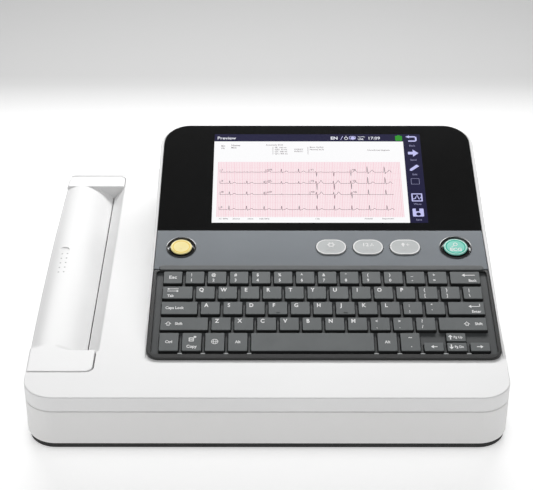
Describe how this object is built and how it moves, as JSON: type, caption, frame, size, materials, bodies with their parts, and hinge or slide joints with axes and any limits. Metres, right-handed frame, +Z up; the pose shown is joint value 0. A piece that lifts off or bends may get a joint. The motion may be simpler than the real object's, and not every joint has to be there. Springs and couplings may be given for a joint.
{
  "type": "ecg machine",
  "caption": "Desktop multichannel ECG machine with a sloped display, a full keyboard, push buttons and a slide-out thermal paper recorder drawer.",
  "frame": {"origin": "centre of the bounding box at table level, under the middle of the machine", "axes": "+X to the operator's right, +Y to the back of the machine, +Z up; the keyboard and the front edge face -Y, the recorder drawer opens to -X"},
  "size_m": [0.364, 0.34, 0.1094],
  "materials": {
    "white_plastic": "fine satin texture",
    "black_glass": "polished, mirror-like",
    "lcd_metal": "satin",
    "panel_grey": "satin with a soft sheen",
    "frame_black": "semi-gloss",
    "key_plastic": "fine matt texture",
    "oval_button": "satin",
    "yellow_button": "satin",
    "green_button": "satin",
    "rubber_foot": "matt",
    "roller_rubber": "ground matt",
    "steel": "brushed",
    "brass": "turned",
    "circuit_board": "solder mask",
    "battery_wrap": "shrink wrap",
    "nylon": "moulded",
    "paper": "thermal paper",
    "connector_black": "moulded"
  },
  "bodies": {
    "case": {"bottom_case": "white_plastic", "top_case": "white_plastic", "display_window": "black_glass", "lcd_module": "lcd_metal", "button_panel": "panel_grey", "keyboard_frame": "frame_black", "keyboard_board": "circuit_board", "paper_motor": "steel", "print_head": "steel", "main_board": "circuit_board", "power_supply": "circuit_board", "battery_pack": "battery_wrap", "battery_door": "white_plastic", "speaker": "connector_black", "ac_inlet": "connector_black", "network_port": "steel", "usb_port": "steel", "ground_stud": "brass", "patient_connector": "connector_black", "foot_front_left": "rubber_foot", "foot_front_right": "rubber_foot", "foot_rear_right": "rubber_foot", "foot_rear_left": "rubber_foot", "screw_front_left": "steel", "screw_front_right": "steel", "screw_rear_right": "steel", "screw_rear_left": "steel"},
    "recorder_drawer": {"recorder_door": "white_plastic", "paper_tray": "nylon", "paper_stack": "paper"},
    "platen": {"platen_roller": "roller_rubber", "platen_gear": "nylon"},
    "pinion": {"motor_pinion": "brass"},
    "key_escape_body": {"key_escape": "key_plastic"},
    "key_row_digits_body": {"key_row_digits": "key_plastic"},
    "key_backspace_body": {"key_backspace": "key_plastic"},
    "key_tab_body": {"key_tab": "key_plastic"},
    "key_row_upper_body": {"key_row_upper": "key_plastic"},
    "key_caps_lock_body": {"key_caps_lock": "key_plastic"},
    "key_row_home_body": {"key_row_home": "key_plastic"},
    "key_enter_body": {"key_enter": "key_plastic"},
    "key_shift_left_body": {"key_shift_left": "key_plastic"},
    "key_row_lower_body": {"key_row_lower": "key_plastic"},
    "key_shift_right_body": {"key_shift_right": "key_plastic"},
    "key_control_body": {"key_control": "key_plastic"},
    "key_copy_body": {"key_copy": "key_plastic"},
    "key_language_body": {"key_language": "key_plastic"},
    "key_alt_left_body": {"key_alt_left": "key_plastic"},
    "key_space_body": {"key_space": "key_plastic"},
    "key_alt_right_body": {"key_alt_right": "key_plastic"},
    "key_tilde_body": {"key_tilde": "key_plastic"},
    "key_left_body": {"key_left": "key_plastic"},
    "key_up_body": {"key_up": "key_plastic"},
    "key_down_body": {"key_down": "key_plastic"},
    "key_right_body": {"key_right": "key_plastic"},
    "power_button_body": {"power_button": "yellow_button"},
    "ecg_button_body": {"ecg_button": "green_button"},
    "setup_button_body": {"setup_button": "oval_button"},
    "leads_button_body": {"leads_button": "oval_button"},
    "filter_button_body": {"filter_button": "oval_button"}
  },
  "joints": [
    {"name": "drawer_slide", "type": "slide", "parent": "case", "child": "recorder_drawer", "axis": [-1, 0, 0], "range_m": [0, 0.125]},
    {"name": "platen_spin", "type": "hinge", "parent": "recorder_drawer", "child": "platen", "pos_m": [-0.1459, 0, 0.024], "axis": [0, 1, 0], "continuous": true},
    {"name": "pinion_spin", "type": "hinge", "parent": "case", "child": "pinion", "pos_m": [-0.13215, 0, 0.024], "axis": [0, 1, 0], "continuous": true},
    {"name": "key_escape_press", "type": "slide", "parent": "case", "child": "key_escape_body", "axis": [0, 0.1822, -0.9833], "range_m": [0, 0.002], "stiffness_N_per_m": 250, "springref_m": -0.001},
    {"name": "key_row_digits_press", "type": "slide", "parent": "case", "child": "key_row_digits_body", "axis": [0, 0.1822, -0.9833], "range_m": [0, 0.002], "stiffness_N_per_m": 900, "springref_m": -0.001},
    {"name": "key_backspace_press", "type": "slide", "parent": "case", "child": "key_backspace_body", "axis": [0, 0.1822, -0.9833], "range_m": [0, 0.002], "stiffness_N_per_m": 250, "springref_m": -0.001},
    {"name": "key_tab_press", "type": "slide", "parent": "case", "child": "key_tab_body", "axis": [0, 0.1822, -0.9833], "range_m": [0, 0.002], "stiffness_N_per_m": 250, "springref_m": -0.001},
    {"name": "key_row_upper_press", "type": "slide", "parent": "case", "child": "key_row_upper_body", "axis": [0, 0.1822, -0.9833], "range_m": [0, 0.002], "stiffness_N_per_m": 900, "springref_m": -0.001},
    {"name": "key_caps_lock_press", "type": "slide", "parent": "case", "child": "key_caps_lock_body", "axis": [0, 0.1822, -0.9833], "range_m": [0, 0.002], "stiffness_N_per_m": 250, "springref_m": -0.001},
    {"name": "key_row_home_press", "type": "slide", "parent": "case", "child": "key_row_home_body", "axis": [0, 0.1822, -0.9833], "range_m": [0, 0.002], "stiffness_N_per_m": 900, "springref_m": -0.001},
    {"name": "key_enter_press", "type": "slide", "parent": "case", "child": "key_enter_body", "axis": [0, 0.1822, -0.9833], "range_m": [0, 0.002], "stiffness_N_per_m": 250, "springref_m": -0.001},
    {"name": "key_shift_left_press", "type": "slide", "parent": "case", "child": "key_shift_left_body", "axis": [0, 0.1822, -0.9833], "range_m": [0, 0.002], "stiffness_N_per_m": 250, "springref_m": -0.001},
    {"name": "key_row_lower_press", "type": "slide", "parent": "case", "child": "key_row_lower_body", "axis": [0, 0.1822, -0.9833], "range_m": [0, 0.002], "stiffness_N_per_m": 900, "springref_m": -0.001},
    {"name": "key_shift_right_press", "type": "slide", "parent": "case", "child": "key_shift_right_body", "axis": [0, 0.1822, -0.9833], "range_m": [0, 0.002], "stiffness_N_per_m": 250, "springref_m": -0.001},
    {"name": "key_control_press", "type": "slide", "parent": "case", "child": "key_control_body", "axis": [0, 0.1822, -0.9833], "range_m": [0, 0.002], "stiffness_N_per_m": 250, "springref_m": -0.001},
    {"name": "key_copy_press", "type": "slide", "parent": "case", "child": "key_copy_body", "axis": [0, 0.1822, -0.9833], "range_m": [0, 0.002], "stiffness_N_per_m": 250, "springref_m": -0.001},
    {"name": "key_language_press", "type": "slide", "parent": "case", "child": "key_language_body", "axis": [0, 0.1822, -0.9833], "range_m": [0, 0.002], "stiffness_N_per_m": 250, "springref_m": -0.001},
    {"name": "key_alt_left_press", "type": "slide", "parent": "case", "child": "key_alt_left_body", "axis": [0, 0.1822, -0.9833], "range_m": [0, 0.002], "stiffness_N_per_m": 250, "springref_m": -0.001},
    {"name": "key_space_press", "type": "slide", "parent": "case", "child": "key_space_body", "axis": [0, 0.1822, -0.9833], "range_m": [0, 0.002], "stiffness_N_per_m": 250, "springref_m": -0.001},
    {"name": "key_alt_right_press", "type": "slide", "parent": "case", "child": "key_alt_right_body", "axis": [0, 0.1822, -0.9833], "range_m": [0, 0.002], "stiffness_N_per_m": 250, "springref_m": -0.001},
    {"name": "key_tilde_press", "type": "slide", "parent": "case", "child": "key_tilde_body", "axis": [0, 0.1822, -0.9833], "range_m": [0, 0.002], "stiffness_N_per_m": 250, "springref_m": -0.001},
    {"name": "key_left_press", "type": "slide", "parent": "case", "child": "key_left_body", "axis": [0, 0.1822, -0.9833], "range_m": [0, 0.002], "stiffness_N_per_m": 250, "springref_m": -0.001},
    {"name": "key_up_press", "type": "slide", "parent": "case", "child": "key_up_body", "axis": [0, 0.1822, -0.9833], "range_m": [0, 0.002], "stiffness_N_per_m": 250, "springref_m": -0.001},
    {"name": "key_down_press", "type": "slide", "parent": "case", "child": "key_down_body", "axis": [0, 0.1822, -0.9833], "range_m": [0, 0.002], "stiffness_N_per_m": 250, "springref_m": -0.001},
    {"name": "key_right_press", "type": "slide", "parent": "case", "child": "key_right_body", "axis": [0, 0.1822, -0.9833], "range_m": [0, 0.002], "stiffness_N_per_m": 250, "springref_m": -0.001},
    {"name": "power_button_press", "type": "slide", "parent": "case", "child": "power_button_body", "axis": [0, 0.1822, -0.9833], "range_m": [0, 0.0012], "stiffness_N_per_m": 500, "springref_m": -0.001},
    {"name": "ecg_button_press", "type": "slide", "parent": "case", "child": "ecg_button_body", "axis": [0, 0.1822, -0.9833], "range_m": [0, 0.0012], "stiffness_N_per_m": 500, "springref_m": -0.001},
    {"name": "setup_button_press", "type": "slide", "parent": "case", "child": "setup_button_body", "axis": [0, 0.1822, -0.9833], "range_m": [0, 0.0012], "stiffness_N_per_m": 500, "springref_m": -0.001},
    {"name": "leads_button_press", "type": "slide", "parent": "case", "child": "leads_button_body", "axis": [0, 0.1822, -0.9833], "range_m": [0, 0.0012], "stiffness_N_per_m": 500, "springref_m": -0.001},
    {"name": "filter_button_press", "type": "slide", "parent": "case", "child": "filter_button_body", "axis": [0, 0.1822, -0.9833], "range_m": [0, 0.0012], "stiffness_N_per_m": 500, "springref_m": -0.001}
  ],
  "couplings": [
    {"joint": "pinion_spin", "follows": "platen_spin", "ratio": -2}
  ]
}
